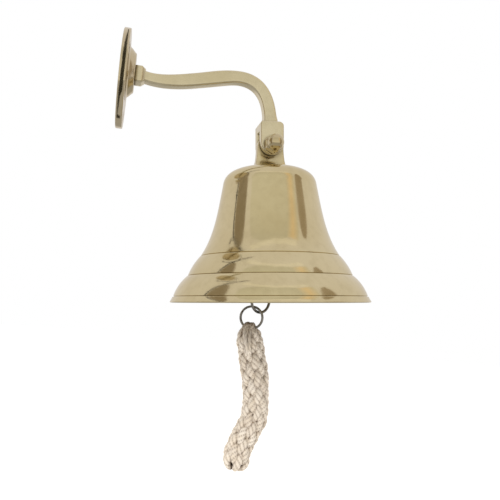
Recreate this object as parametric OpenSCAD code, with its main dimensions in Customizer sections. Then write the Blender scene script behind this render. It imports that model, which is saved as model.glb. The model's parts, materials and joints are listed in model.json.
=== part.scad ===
// Ship bell on a wall bracket, in millimetres.
// Origin: centre of the wall plate's back face. +X points out of the wall, +Z points up.

/* [Wall plate and hub] */
// Diameter of the round wall plate
plate_d = 72.5; // [72:0.5:84]
// Thickness of the wall plate
plate_t = 5; // [4.8:0.1:6.4]
// Diameter of the hub where it stands on the plate
hub_d = 35; // [33:0.5:36]
// Height of the hub in front of the plate
hub_t = 5.4; // [5:0.1:6]
// Height of the arm's root above the plate's centre
arm_rise = 4.2; // [3:0.1:5]
// Pitch circle diameter of the wall screw holes
screw_pcd = 58; // [57:0.5:60]
// Diameter of a wall screw hole
screw_hole_d = 4.6; // [4:0.1:5]

/* [Arm and fork] */
// Distance from the wall to the bell's pivot
reach = 117; // [112:0.5:122]
// Distance of the bell's pivot below the plate's centre
drop = 37; // [34:0.5:40]
// Outward lean of the fork and the bell, in degrees
lean = 4.9; // [3:0.1:6]
// Width of the arm across its side faces
arm_w = 9.2; // [8.5:0.1:10]
// Width of the arm where it meets the fork
neck_w = 12; // [11:0.1:15]
// Width of the fork's front face
fork_w = 17.9; // [17.5:0.1:20]
// Thickness of the fork from front to back
fork_t = 21; // [18:0.1:22]
// Width of the slot between the fork's two tines
slot_w = 8; // [8:0.1:8.6]
// Diameter of the pivot bolt's bore
bolt_d = 8; // [7.8:0.1:8.2]

/* [Bell] */
// Diameter of the bell's mouth
mouth_d = 150; // [148:0.5:156]
// Height of the bell from its lip to its crown
bell_h = 102; // [101:0.5:104]
// Distance from the bell's lip to its pivot
pivot_h = 118; // [118:0.5:120]
// Height of the lip band
lip_h = 4.3; // [3.5:0.1:5]
// Height of the lower moulding line above the lip
low_line_z = 19.6; // [19:0.1:20.5]
// Height of the upper moulding line above the lip
high_line_z = 34.2; // [33.5:0.1:35]

/* [Clapper] */
// Diameter of the clapper's ball
ball_d = 25; // [23:0.5:26]
// Height of the ball's centre
ball_z = -125.7; // [-125.7:0.1:-125]
// Radius of the clapper's rod
rod_r = 2.6; // [2.2:0.1:3]

/* [Rings and rope] */
// Middle radius of the clapper ring
ring_r = 9; // [8.8:0.1:9.2]
// Middle radius of the split ring
split_r = 8.2; // [8.2:0.1:8.4]
// Radius of the braided rope
rope_r = 10.4; // [9:0.1:10.5]

/* [Hidden] */
$fn = 96;
eps = 0.01;

brass = "#c8b478";
steel = "#6f6f6c";
cotton = "#e3d6bd";

fit = 0.05;            // radial clearance of a running or plain fit
thread_gap = 0.04;     // radial clearance that stands for a thread
plate_r = plate_d / 2;
hub_x = plate_t + hub_t;
foot_r = 20.5;         // radius of the hub's shallow flare on the plate
hub_lift = 1.2;         // height of the hub's centre above the arm's root
collar_w = 12.2;       // square collar at the arm's root
collar_end = hub_x + 5.3;
collar_tip = hub_x + 7.6;

arm_screw_r = 2.5;     // M5 screw from the plate's back into the arm's root
arm_screw_head_r = 5;
arm_screw_depth = 15;
csk_depth = 2.6;       // depth of a wall screw's countersink

fork_top = 19;         // top of the fork above the pivot
slot_top = 12;         // roof of the slot above the pivot
tine_r = fork_w / 2;
tine_up = 2.5;         // centre of the tines' round ends above the pivot
bolt_r = bolt_d / 2;
washer_t = 1.2;
washer_r = 7.2;
nut_af = 13;           // M8 hexagon across flats
nut_h = 6.5;           // height of the acorn nut's hexagon
head_h = 5.3;
face_y = fork_t / 2;   // the fork's outer faces

tab_t = slot_w - 0.6;
tab_r = 10.2;          // round top of the hanger's tab
foot_z = bell_h - pivot_h;   // the crown, measured from the pivot
shank_r = 2.85;        // the eye bolt's M6 shank

crown_in = bell_h - 3.2;     // underside of the crown above the lip
eye_z = 86.5;          // centre of the eye bolt's eye above the lip
eye_r = 4.8;
eye_wire = 1.6;

gap = 0.3;             // space between links that hang in each other
link_r = 5.5;
link_wire = 1.25;
top_eye_r = 4.2;
top_eye_wire = 1.5;
tail_r = 3.2;
tail_wire = 1.2;
ring_wire = 1;
ring_yaw = 30;         // the clapper ring's plane, turned from the XZ plane
split_wire = 0.75;
split_yaw = -20;       // the split ring's plane, turned from the XZ plane
split_shift = [-6, -0.5, -4.2];  // its centre from the clapper ring's lowest point

// The plumb line that the clapper hangs on, and the heights down it
hang_x = reach + (pivot_h - eye_z) * sin(lean);
eye_mid = -drop - (pivot_h - eye_z) * cos(lean);
link_top = eye_mid - (eye_r - eye_wire - link_wire - gap);
link_mid = link_top - link_r;
rod_top = link_mid - link_r + link_wire + top_eye_wire + gap;
rod_eye = rod_top - top_eye_r;
tail_z = -144;
ring_top = tail_z - (tail_r - tail_wire - ring_wire - gap);
ring_mid = ring_top - ring_r;
ring_low = ring_mid - ring_r;
split_mid = [hang_x, 0, ring_low] + split_shift;
loop_turn = 8;         // where the rope's loop sits on the split ring, from its lowest point
loop_r = 5;
loop_bore = 2.2;
loop_w = 7;

// The rope's route, from the loop to the knot
rope_route = [[112.6, -0.4, -177.2], [113.6, 0, -183], [115.2, 0, -190],
              [116.9, 0, -197], [118.6, 0, -204], [120.2, 0, -211],
              [121.4, 0, -218], [122.2, 0, -225], [122.3, 0, -232],
              [121.7, 0, -238.5], [120.1, 0, -244.5], [117.8, 0, -250],
              [115.2, 0, -255.2], [113, 0, -260.5], [111.6, 0, -266],
              [111, 0, -271]];

// Points of a cubic curve with four control points
function curve(a, b, c, d, n) =
    [for (i = [0:n]) let (t = i / n, s = 1 - t)
        s * s * s * a + 3 * s * s * t * b + 3 * s * t * t * c + t * t * t * d];

// Points of a shallow bow from a to b that swells by rise to the left of the chord
function bow(a, b, rise, n) =
    [for (i = [0:n]) let (t = i / n, d = (b - a) / norm(b - a))
        a + t * (b - a) + 4 * t * (1 - t) * rise * [-d[1], d[0]]];

// Points of an arc about a centre
function arc(c, r, from, to, n) =
    [for (i = [0:n]) let (a = from + (to - from) * i / n) c + r * [cos(a), sin(a)]];

function unit(v) = v / norm(v);
function backwards(list) = [for (i = [len(list) - 1:-1:0]) list[i]];

// An XZ outline as a slab that is centred on Y = 0
module slab(w) {
    translate([0, w / 2, 0]) rotate([90, 0, 0]) linear_extrude(w) children();
}

// A YZ outline as a bar along X
module bar_x(from, to) {
    translate([from, 0, 0]) rotate([90, 0, 90]) linear_extrude(to - from) children();
}

// A round hole or pin along Y, centred on Y = 0
module pin_y(r, length) {
    rotate([90, 0, 0]) cylinder(h = length, r = r, center = true);
}

// A ring of round wire in the XZ plane
module wire_ring(r, wire) {
    rotate([90, 0, 0]) rotate_extrude() translate([r, 0]) circle(wire, $fn = 32);
}

module hexagon(af, h) {
    cylinder(h = h, r = af / 2 / cos(30), $fn = 6);
}

// The frame of the fork and the bell: origin at the pivot, +Z up the leaning fork
module at_pivot() {
    translate([reach, 0, -drop]) rotate([0, -lean, 0]) children();
}

// The frame of the bell: origin at the centre of the lip
module at_lip() {
    at_pivot() translate([0, 0, -pivot_h]) children();
}

// Puts a part that is drawn along +Z on the arm's root axis, which runs along +X
module at_root() {
    translate([0, 0, arm_rise]) rotate([0, 90, 0]) children();
}

// ---- Bracket ----

module wall_plate() {
    edge = 0.8;
    color(brass) difference() {
        rotate([0, 90, 0]) rotate_extrude()
            polygon(concat([[0, 0], [plate_r - edge, 0], [plate_r, edge]],
                           arc([plate_r - 1.4, plate_t - 1.4], 1.4, 0, 90, 8),
                           [[0, plate_t]]));
        for (a = [30, 150, 270])
            translate([0, screw_pcd / 2 * cos(a), screw_pcd / 2 * sin(a)]) rotate([0, 90, 0]) {
                translate([0, 0, -1]) cylinder(h = plate_t + 2, d = screw_hole_d);
                translate([0, 0, plate_t - csk_depth])
                    cylinder(h = csk_depth + eps, d1 = screw_hole_d, d2 = screw_hole_d + 4.2);
            }
        at_root() translate([0, 0, -1]) cylinder(h = plate_t + 2, r = arm_screw_r + fit);
        at_root() translate([0, 0, -eps])
            cylinder(h = 3, r1 = arm_screw_head_r + 0.3, r2 = arm_screw_r + fit);
    }
}

module hub_boss() {
    r = hub_d / 2;
    outline = concat([[0, plate_t], [foot_r, plate_t]],
                     curve([foot_r, plate_t + 0.2], [r + 1.6, plate_t + 0.5],
                           [r + 0.3, plate_t + 1], [r, plate_t + 2], 8),
                     [[r - 3, hub_x - 0.3], [r - 3.4, hub_x], [0, hub_x]]);
    color(brass) difference() {
        translate([0, 0, hub_lift]) at_root() rotate_extrude() polygon(outline);
        at_root() cylinder(h = hub_x + 1, r = arm_screw_r + fit);
    }
}

// Centre line of the arm: an S from the collar to the top, then the bend down to the fork
arm_top = [89, 14.4];
fork_seat = [reach - (fork_top - 2) * sin(lean), -drop + (fork_top - 2) * cos(lean)];
fork_down = [sin(lean), -cos(lean)];
arm_line = concat(curve([collar_end, arm_rise], [38, -2.2], [72, arm_top[1]], arm_top, 24),
                  [for (p = curve(arm_top, arm_top + [22.2, 0], fork_seat - 13 * fork_down,
                                  fork_seat, 24)) if (p != arm_top) p]);
// Half depth of the arm along its centre line, from 0 at the collar to 1 at the fork
arm_depth = [[0, 3.8], [0.25, 4.9], [0.36, 5.05], [0.5, 4.6], [0.7, 4.6], [1, 4.9]];

function arm_side(sign) =
    let (last = len(arm_line) - 1)
    [for (i = [0:last])
        let (d = unit(arm_line[min(i + 1, last)] - arm_line[max(i - 1, 0)]))
        arm_line[i] + sign * lookup(i / last, arm_depth) * [-d[1], d[0]]];

module arm_body() {
    half = arm_w / 2;
    neck = neck_w / 2;
    flare = curve([half, -5], [half, -11], [neck, -12], [neck, -18], 12);
    intersection() {
        slab(neck_w + 2) polygon(concat(arm_side(1), backwards(arm_side(-1))));
        bar_x(0, reach + 20)
            polygon(concat([[half, 40]], flare, [[neck, -40], [-neck, -40]],
                           backwards([for (p = flare) [-p[0], p[1]]]), [[-half, 40]]));
    }
}

module collar() {
    w = collar_w / 2;
    tip = 4.4;
    outline = [[hub_x, -w], [collar_end, -w], [collar_tip, -tip],
               [collar_tip, tip], [collar_end, w], [hub_x, w]];
    translate([0, 0, arm_rise]) intersection() {
        slab(collar_w + 1) polygon(outline);
        translate([0, 0, -collar_w]) linear_extrude(2 * collar_w) polygon(outline);
    }
}

module fork() {
    front = 3.4;
    back = 1.8;
    top = concat(arc([tine_r - front, fork_top - front], front, 0, 90, 8),
                 arc([back - tine_r, fork_top - back], back, 90, 180, 8));
    at_pivot() difference() {
        union() {
            slab(fork_t) polygon(concat([[tine_r, tine_up]], top, [[-tine_r, tine_up]]));
            translate([0, 0, tine_up]) pin_y(tine_r, fork_t);
        }
        translate([-tine_r - 1, -slot_w / 2, -tine_r - 1])
            cube([fork_w + 2, slot_w, slot_top + tine_r + 1]);
        pin_y(bolt_r, fork_t + 2);
    }
}

module bracket_arm() {
    color(brass) difference() {
        union() {
            collar();
            arm_body();
            fork();
        }
        at_root() translate([0, 0, hub_x - eps])
            cylinder(h = arm_screw_depth - hub_x + plate_t + 4, r = arm_screw_r + thread_gap);
    }
}

module arm_screw() {
    head = 2.8;
    color(steel) at_root() difference() {
        union() {
            translate([0, 0, 0.2]) cylinder(h = head, r1 = arm_screw_head_r, r2 = arm_screw_r);
            translate([0, 0, 0.2]) cylinder(h = hub_x + 8, r = arm_screw_r);
        }
        translate([0, 0, -eps]) hexagon(3, 1.8);
    }
}

module pivot_bolt() {
    color(brass) at_pivot() {
        translate([0, face_y + washer_t, 0]) rotate([-90, 0, 0]) hexagon(nut_af, head_h);
        translate([0, face_y + washer_t + eps, 0]) rotate([90, 0, 0])
            cylinder(h = fork_t + 2 * washer_t + nut_h, r = bolt_r - fit);
    }
}

module pivot_washers() {
    color(brass) at_pivot() for (side = [-1, 1])
        translate([0, side * (face_y + washer_t / 2), 0]) difference() {
            pin_y(washer_r, washer_t);
            pin_y(bolt_r + 0.2, washer_t + 1);
        }
}

module acorn_nut() {
    dome_r = nut_af / 2 - 0.4;
    thread = nut_h + 3;
    color(brass) at_pivot() translate([0, -face_y - washer_t, 0]) rotate([90, 0, 0]) difference() {
        union() {
            hexagon(nut_af, nut_h);
            rotate_extrude()
                polygon(concat([[0, nut_h - 1], [dome_r, nut_h - 1]],
                               arc([0, nut_h + 1.6], dome_r, 0, 90, 12)));
        }
        translate([0, 0, -1]) cylinder(h = thread + 1, r = bolt_r);
    }
}

// ---- Bell ----

// The hanger is the overlap of its front outline and its side outline, less its two bores
module crown_hanger() {
    foot = 12.7;
    front = curve([tab_r, 0], [tab_r + 0.2, -8], [foot - 1.6, -11.5], [foot, foot_z], 10);
    side_foot = 6.6;
    side = curve([tab_t / 2, -10], [tab_t / 2, -13], [side_foot - 1.6, -14.6],
                 [side_foot, foot_z], 6);
    color(brass) at_pivot() difference() {
        intersection() {
            slab(2 * side_foot + 1)
                polygon(concat(arc([0, 0], tab_r, 180, 5, 35), front,
                               backwards([for (p = front) [-p[0], p[1]]])));
            bar_x(-foot - 1, foot + 1)
                polygon(concat([[tab_t / 2, 12]], side,
                               backwards([for (p = side) [-p[0], p[1]]]), [[-tab_t / 2, 12]]));
        }
        pin_y(bolt_r, tab_t + 10);
        translate([0, 0, foot_z - 1]) cylinder(h = 10, r = shank_r + thread_gap);
    }
}

module bell_cup() {
    r = mouth_d / 2;
    shoulder = [35.9, bell_h - 14];
    outer = concat([[r - 2.4, 0], [r - 0.6, 0]],
                   bow([r, 0.7], [r - 1.9, lip_h], 0.1, 4),
                   bow([r - 2.3, lip_h], [r - 12.5, low_line_z], -1.2, 14),
                   bow([r - 13, low_line_z], [r - 21.9, high_line_z], -0.7, 12),
                   curve([r - 22.4, high_line_z], [r - 32.7, high_line_z + 16],
                         [39.7, bell_h - 34], shoulder, 22),
                   curve([35.8, bell_h - 13.8], [35.1, bell_h - 6.5], [30.5, bell_h - 1.8],
                         [18, bell_h - 0.15], 14),
                   [[14, bell_h], [shank_r + fit, bell_h], [shank_r + fit, crown_in]]);
    inner = concat(curve([17, crown_in], [27.5, crown_in - 0.6], [32, bell_h - 8],
                         [32.8, bell_h - 15], 10),
                   curve([32.8, bell_h - 15.4], [35.8, bell_h - 32], [38.6, high_line_z + 16.8],
                         [48.8, high_line_z], 16),
                   curve([49, high_line_z - 0.4], [54, high_line_z - 9], [63.5, 13],
                         [r - 2.8, 0.4], 14));
    color(brass) at_lip() rotate_extrude() polygon(concat(outer, inner));
}

module eye_bolt() {
    top = pivot_h - 8;
    color(steel) at_lip() {
        translate([0, 0, eye_z + eye_r]) cylinder(h = top - eye_z - eye_r, r = shank_r);
        translate([0, 0, eye_z]) wire_ring(eye_r, eye_wire);
    }
}

module crown_washer() {
    color(steel) at_lip() translate([0, 0, crown_in - washer_t]) difference() {
        cylinder(h = washer_t, r = 6.5);
        translate([0, 0, -1]) cylinder(h = 3, r = shank_r + 0.2);
    }
}

module crown_nut() {
    h = 4;
    color(steel) at_lip() translate([0, 0, crown_in - washer_t - h]) difference() {
        hexagon(10, h);
        translate([0, 0, -1]) cylinder(h = h + 2, r = shank_r + thread_gap);
    }
}

// ---- Clapper ----

module clapper_link() {
    color(steel) translate([hang_x, 0, link_mid]) rotate([0, 0, 90])
        wire_ring(link_r, link_wire);
}

module clapper_rod() {
    into_ball = 7;
    bottom = ball_z - into_ball;
    color(brass) translate([hang_x, 0, 0]) {
        translate([0, 0, rod_eye]) wire_ring(top_eye_r, top_eye_wire);
        translate([0, 0, bottom]) cylinder(h = rod_eye - top_eye_r - bottom, r = rod_r);
    }
}

module clapper_ball() {
    r = ball_d / 2;
    neck = 5;
    start = acos(neck / r);
    bore = rod_r + fit;
    color(brass) translate([hang_x, 0, ball_z]) difference() {
        rotate_extrude() polygon(concat([[0, -r]], arc([0, 0], r, -88, start - 6, 36),
                                        [[neck, r * sin(start) + 1.2],
                                         [neck - 1, r * sin(start) + 2.4],
                                         [0, r * sin(start) + 2.4]]));
        translate([0, 0, -8]) cylinder(h = 30, r = bore);
        translate([0, 0, -r - 1]) cylinder(h = 4, r = 2);
    }
}

module tail_eye() {
    color(brass) translate([hang_x, 0, tail_z]) {
        rotate([0, 0, ring_yaw + 90]) wire_ring(tail_r, tail_wire);
        translate([0, 0, tail_r]) cylinder(h = ball_z - ball_d / 2 + 2.6 - tail_z - tail_r, r = 1.96);
    }
}

// ---- Rings and rope ----

module clapper_ring() {
    color(steel) translate([hang_x, 0, ring_mid]) rotate([0, 0, ring_yaw])
        wire_ring(ring_r, ring_wire);
}

// Two turns of wire side by side
module split_ring() {
    color(steel) translate(split_mid) rotate([0, 0, split_yaw])
        rotate([90, 0, 0]) rotate_extrude() translate([split_r, 0]) for (side = [-0.6, 0.6])
            translate([0, side]) circle(split_wire, $fn = 32);
}

module lanyard_loop() {
    color(cotton) translate(split_mid) rotate([0, 0, split_yaw])
        rotate([0, loop_turn, 0]) translate([0, 0, -split_r]) rotate([0, 90, 0]) difference() {
            cylinder(h = loop_w, r = loop_r, center = true);
            cylinder(h = loop_w + 1, r = loop_bore, center = true);
        }
}

// Rings of a tube along a route, the first of them smaller where the strands gather
function tube_rings(route, sides) =
    [for (i = [0:len(route) - 1])
        let (d = unit(route[min(i + 1, len(route) - 1)] - route[max(i - 1, 0)]),
             u = unit(cross([0, 1, 0], d)), v = cross(d, u),
             r = rope_r * min(1, 0.62 + 0.2 * i))
        [for (k = [0:sides - 1]) route[i] + r * (cos(360 * k / sides) * u + sin(360 * k / sides) * v)]];

module tube(route, sides) {
    rings = tube_rings(route, sides);
    n = len(route);
    skin = [for (i = [0:n - 2]) for (k = [0:sides - 1])
        [i * sides + k, i * sides + (k + 1) % sides,
         (i + 1) * sides + (k + 1) % sides, (i + 1) * sides + k]];
    cap_a = [for (k = [sides - 1:-1:0]) k];
    cap_b = [for (k = [0:sides - 1]) (n - 1) * sides + k];
    polyhedron(points = [for (ring = rings) for (p = ring) p],
               faces = concat([for (f = skin) [f[3], f[2], f[1], f[0]]], [backwards(cap_a)],
                              [backwards(cap_b)]));
}

module lanyard_braid() {
    color(cotton) tube(rope_route, 12);
}

module lanyard_knot() {
    last = rope_route[len(rope_route) - 1];
    before = rope_route[len(rope_route) - 2];
    d = unit(last - before);
    tilt = atan2(-d[0], -d[2]);
    h = 7.2;
    color(cotton) translate(last) rotate([0, tilt, 0]) rotate_extrude()
        polygon([for (a = [0:6:90]) [rope_r * cos(a), -h * sin(a)]]);
}

wall_plate();
hub_boss();
bracket_arm();
arm_screw();
pivot_bolt();
pivot_washers();
acorn_nut();
crown_hanger();
bell_cup();
eye_bolt();
crown_washer();
crown_nut();
clapper_link();
clapper_rod();
clapper_ball();
tail_eye();
clapper_ring();
split_ring();
lanyard_loop();
lanyard_braid();
lanyard_knot();
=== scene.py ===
import json
import math
import random

import bmesh
import bpy
from mathutils import Matrix, Vector


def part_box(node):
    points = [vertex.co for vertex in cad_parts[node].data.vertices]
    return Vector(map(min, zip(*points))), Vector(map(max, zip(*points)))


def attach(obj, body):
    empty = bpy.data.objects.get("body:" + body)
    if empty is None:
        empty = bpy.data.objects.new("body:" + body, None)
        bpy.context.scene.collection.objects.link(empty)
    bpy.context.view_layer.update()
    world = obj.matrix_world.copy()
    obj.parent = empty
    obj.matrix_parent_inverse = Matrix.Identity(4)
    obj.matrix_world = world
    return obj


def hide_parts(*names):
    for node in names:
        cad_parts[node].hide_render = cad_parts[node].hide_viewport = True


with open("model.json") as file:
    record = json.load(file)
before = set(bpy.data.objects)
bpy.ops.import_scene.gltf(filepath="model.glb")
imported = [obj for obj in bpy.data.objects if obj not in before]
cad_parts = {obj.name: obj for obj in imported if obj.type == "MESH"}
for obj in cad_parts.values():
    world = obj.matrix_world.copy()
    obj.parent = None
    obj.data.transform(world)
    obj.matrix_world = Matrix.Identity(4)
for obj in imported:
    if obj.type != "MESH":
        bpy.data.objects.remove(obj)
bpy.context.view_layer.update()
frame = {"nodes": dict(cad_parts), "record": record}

scene = bpy.context.scene
joints = {j["name"]: j for j in frame["record"]["behaviour"]["joints"]}

MM = 0.001
LEAN = math.radians(4.9)

# Sizes of the design, in millimetres
PIVOT_H = 118.0
BELL_H = 102.0
CROWN_IN = BELL_H - 3.2
MOUTH_R = 75.0
LIP_H = 4.3
LOW_LINE = 19.6
HIGH_LINE = 34.2
SHANK_R = 2.9
PLATE_R = 36.25
PLATE_T = 5.0
SCREW_CIRCLE_R = 29.0
HUB_R = 17.5
HUB_FOOT_R = 20.5
HUB_X = PLATE_T + 5.4
HUB_LIFT = 1.2
ARM_RISE = 4.2
ARM_HALF = 4.6
NECK_HALF = 6.0
COLLAR_HALF = 6.1
COLLAR_END = HUB_X + 5.3
COLLAR_TIP = HUB_X + 7.6
FORK_TOP = 19.0
FORK_HALF = 8.95
FORK_T = 21.0
SLOT_W = 8.0
SLOT_TOP = 12.0
TINE_UP = 2.5
BOLT_R = 3.95
WASHER_T = 1.2
WASHER_R = 7.2
NUT_AF = 13.0
NUT_H = 6.5
TAB_R = 10.2
TAB_T = 7.4

PIVOT = Vector(joints["bell_swing"]["pos_m"])
TO_PIVOT = Matrix.Translation(PIVOT) @ Matrix.Rotation(-LEAN, 4, "Y")
TO_LIP = TO_PIVOT @ Matrix.Translation((0, 0, -PIVOT_H * MM))
Y_TO_Z = Matrix.Rotation(math.radians(90), 4, "X")
Z_TO_X = Matrix.Rotation(math.radians(90), 4, "Y")

# The studio
ROOM_LIGHT = (0.76, 0.72, 0.69)
CAMERA_TURN = 11.4
BELL_MIDDLE = Vector((0.125, 0, -0.11))
BAND_R = 0.9
FLOOR_Z = -0.45


# ---- Camera ----

def add_camera():
    data = bpy.data.cameras.new("camera")
    data.lens = 43.2
    data.sensor_width = 36
    data.clip_start = 0.01
    camera = bpy.data.objects.new("camera", data)
    scene.collection.objects.link(camera)
    forward = Vector((0.19595, 0.97549, 0.10015)).normalized()
    up = Vector((-0.10204, -0.08129, 0.99145))
    right = forward.cross(up).normalized()
    up = right.cross(forward)
    turn = Matrix((right, up, -forward)).transposed().to_4x4()
    spot = Vector((0.01969, -0.44132, -0.16187))
    camera.matrix_world = Matrix.Translation(spot) @ turn
    scene.camera = camera


# ---- Curves and meshes ----

def curve(a, b, c, d, n):
    """Points of a cubic curve with four control points."""
    a, b, c, d = (Vector(p) for p in (a, b, c, d))
    points = []
    for i in range(n + 1):
        t = i / n
        s = 1 - t
        points.append(s**3 * a + 3 * s * s * t * b + 3 * s * t * t * c + t**3 * d)
    return points


def bow(a, b, rise, n):
    """Points of a shallow bow from a to b that swells by rise to the left of the chord."""
    a, b = Vector(a), Vector(b)
    along = (b - a).normalized()
    side = Vector((-along.y, along.x))
    points = []
    for i in range(n + 1):
        t = i / n
        points.append(a + t * (b - a) + 4 * t * (1 - t) * rise * side)
    return points


def arc(centre, r, start, end, n):
    """Points of an arc, with its angles in degrees."""
    points = []
    for i in range(n + 1):
        a = math.radians(start + (end - start) * i / n)
        points.append(Vector((centre[0] + r * math.cos(a), centre[1] + r * math.sin(a))))
    return points


def blend_linear(x, table):
    """A value between the rows of a table of (place, value), along straight lines."""
    if x <= table[0][0]:
        return table[0][1]
    for (x0, y0), (x1, y1) in zip(table, table[1:]):
        if x <= x1:
            return y0 + (x - x0) / (x1 - x0) * (y1 - y0)
    return table[-1][1]


def blend(x, table):
    """A value between the rows of a table of (place, value), eased at each row."""
    if x <= table[0][0]:
        return table[0][1]
    for (x0, y0), (x1, y1) in zip(table, table[1:]):
        if x <= x1:
            t = (x - x0) / (x1 - x0)
            t = t * t * (3 - 2 * t)
            return y0 + t * (y1 - y0)
    return table[-1][1]


def link(name, mesh):
    piece = bpy.data.objects.new(name, mesh)
    scene.collection.objects.link(piece)
    return piece


def shade(piece, angle=32):
    """Smooth shading, with the edges that are sharper than angle left sharp."""
    bm = bmesh.new()
    bm.from_mesh(piece.data)
    for face in bm.faces:
        face.smooth = True
    for edge in bm.edges:
        if len(edge.link_faces) == 2:
            edge.smooth = edge.calc_face_angle(0) < math.radians(angle)
    bm.to_mesh(piece.data)
    bm.free()
    return piece


def solid(name, rows, place=Matrix(), closed=False, angle=32):
    """A mesh from rows of points, each row a closed ring. Its ends are capped unless closed."""
    bm = bmesh.new()
    grid = [[bm.verts.new(place @ (Vector(p) * MM)) for p in row] for row in rows]
    n = len(rows[0])
    last = len(grid) if closed else len(grid) - 1
    for i in range(last):
        a = grid[i]
        b = grid[(i + 1) % len(grid)]
        for k in range(n):
            bm.faces.new((a[k], a[(k + 1) % n], b[(k + 1) % n], b[k]))
    if not closed:
        bm.faces.new(grid[0][::-1])
        bm.faces.new(grid[-1])
    bmesh.ops.remove_doubles(bm, verts=bm.verts, dist=1e-7)
    bmesh.ops.recalc_face_normals(bm, faces=bm.faces)
    mesh = bpy.data.meshes.new(name)
    bm.to_mesh(mesh)
    bm.free()
    return shade(link(name, mesh), angle)


def turned(name, profile, place=Matrix(), segments=96, closed=True, shape=None, angle=32):
    """A profile of (radius, height) turned about Z. shape may change a radius by its angle."""
    rows = []
    for r, z in profile:
        row = []
        for k in range(segments):
            a = 2 * math.pi * k / segments
            rr = shape(r, a) if shape else r
            row.append((rr * math.cos(a), rr * math.sin(a), z))
        rows.append(row)
    return solid(name, rows, place, closed, angle)


def applied(piece):
    """The piece with its modifiers made real."""
    mesh = bpy.data.meshes.new_from_object(
        piece.evaluated_get(bpy.context.evaluated_depsgraph_get())
    )
    piece.modifiers.clear()
    piece.data = mesh
    return piece


def cut(piece, tool, operation="DIFFERENCE"):
    """Cuts tool from piece, or joins it, and deletes tool."""
    step = piece.modifiers.new("cut", "BOOLEAN")
    step.object = tool
    step.operation = operation
    step.solver = "EXACT"
    applied(piece)
    bpy.data.objects.remove(tool)
    return piece


def softened(piece, width, segments, angle):
    """Rounds the piece's edges by width, in millimetres."""
    step = piece.modifiers.new("round", "BEVEL")
    step.width = width * MM
    step.segments = segments
    step.limit_method = "ANGLE"
    step.angle_limit = math.radians(angle)
    step.harden_normals = False
    return shade(applied(piece))


def joined(name, pieces):
    """One mesh of several pieces."""
    bm = bmesh.new()
    for piece in pieces:
        bm.from_mesh(piece.data)
        bpy.data.objects.remove(piece)
    mesh = bpy.data.meshes.new(name)
    bm.to_mesh(mesh)
    bm.free()
    return link(name, mesh)


def rounded_box_ring(half_w, half_h, r, steps=5, flats=3):
    """A rectangle with round corners, as points (across, up) that run once round."""
    points = []
    corners = ((1, 1, 0), (-1, 1, 90), (-1, -1, 180), (1, -1, 270))
    for sx, sy, start in corners:
        c = (sx * (half_w - r), sy * (half_h - r))
        points += arc(c, r, start, start + 90, steps)
    ring = []
    for a, b in zip(points, points[1:] + points[:1]):
        ring.append(a)
        if (b - a).length > 2 * r / steps + 0.4:
            ring += [a.lerp(b, (i + 1) / (flats + 1)) for i in range(flats)]
    return ring


def tube(name, centres, radius, sides, closed, up):
    """A tube along centres. radius is a function of (share along, angle)."""
    rows = []
    n = len(centres)
    side = None
    for i, c in enumerate(centres):
        c = Vector(c)
        before = Vector(centres[(i - 1) % n] if closed else centres[max(i - 1, 0)])
        after = Vector(centres[(i + 1) % n] if closed else centres[min(i + 1, n - 1)])
        d = (after - before).normalized()
        side = (side or up) - (side or up).dot(d) * d
        side.normalize()
        other = d.cross(side)
        row = []
        for k in range(sides):
            a = 2 * math.pi * k / sides
            r = radius(i / (n - 1), a)
            row.append(c + r * (math.cos(a) * side + math.sin(a) * other))
        rows.append(row)
    return solid(name, rows, Matrix(), closed, 60)


# ---- Materials ----

def new_material(name):
    material = bpy.data.materials.new(name)
    material.use_nodes = True
    nodes = material.node_tree.nodes
    return material, nodes, material.node_tree.links, nodes["Principled BSDF"]


def add_node(nodes, kind, **inputs):
    node = nodes.new(kind)
    for key, value in inputs.items():
        node.inputs[key.replace("_", " ")].default_value = value
    return node


def mixed(nodes, links, factor, a, b, share=1.0):
    """A colour between a and b by share of factor, which is an output socket."""
    node = nodes.new("ShaderNodeMix")
    node.data_type = "RGBA"
    amount = nodes.new("ShaderNodeMath")
    amount.operation = "MULTIPLY"
    links.new(factor, amount.inputs[0])
    amount.inputs[1].default_value = share
    links.new(amount.outputs[0], node.inputs["Factor"])
    for socket, value in ((node.inputs["A"], a), (node.inputs["B"], b)):
        if isinstance(value, tuple):
            socket.default_value = (*value, 1)
        else:
            links.new(value, socket)
    return node.outputs["Result"]


def spread(nodes, links, value, low, high, out_low, out_high):
    """The value with its range from low to high spread over out_low to out_high."""
    node = nodes.new("ShaderNodeMapRange")
    links.new(value, node.inputs["Value"])
    node.inputs["From Min"].default_value = low
    node.inputs["From Max"].default_value = high
    node.inputs["To Min"].default_value = out_low
    node.inputs["To Max"].default_value = out_high
    return node.outputs["Result"]


def placed_noise(nodes, links, coords, size, detail, stretch=(1, 1, 1), turn=(0, 0, 0)):
    """Noise whose grain is size metres, stretched along the axes."""
    place = nodes.new("ShaderNodeMapping")
    place.inputs["Rotation"].default_value = turn
    place.inputs["Scale"].default_value = stretch
    links.new(coords, place.inputs["Vector"])
    noise = add_node(nodes, "ShaderNodeTexNoise", Scale=1 / size, Detail=detail)
    links.new(place.outputs["Vector"], noise.inputs["Vector"])
    return noise.outputs["Fac"]


def bumped(nodes, links, bsdf, heights):
    """Chains bumps of (height, strength, distance) into the shader's normal."""
    normal = None
    for height, strength, distance in heights:
        bump = add_node(nodes, "ShaderNodeBump", Strength=strength, Distance=distance)
        links.new(height, bump.inputs["Height"])
        if normal:
            links.new(normal, bump.inputs["Normal"])
        normal = bump.outputs["Normal"]
    links.new(normal, bsdf.inputs["Normal"])


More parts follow.
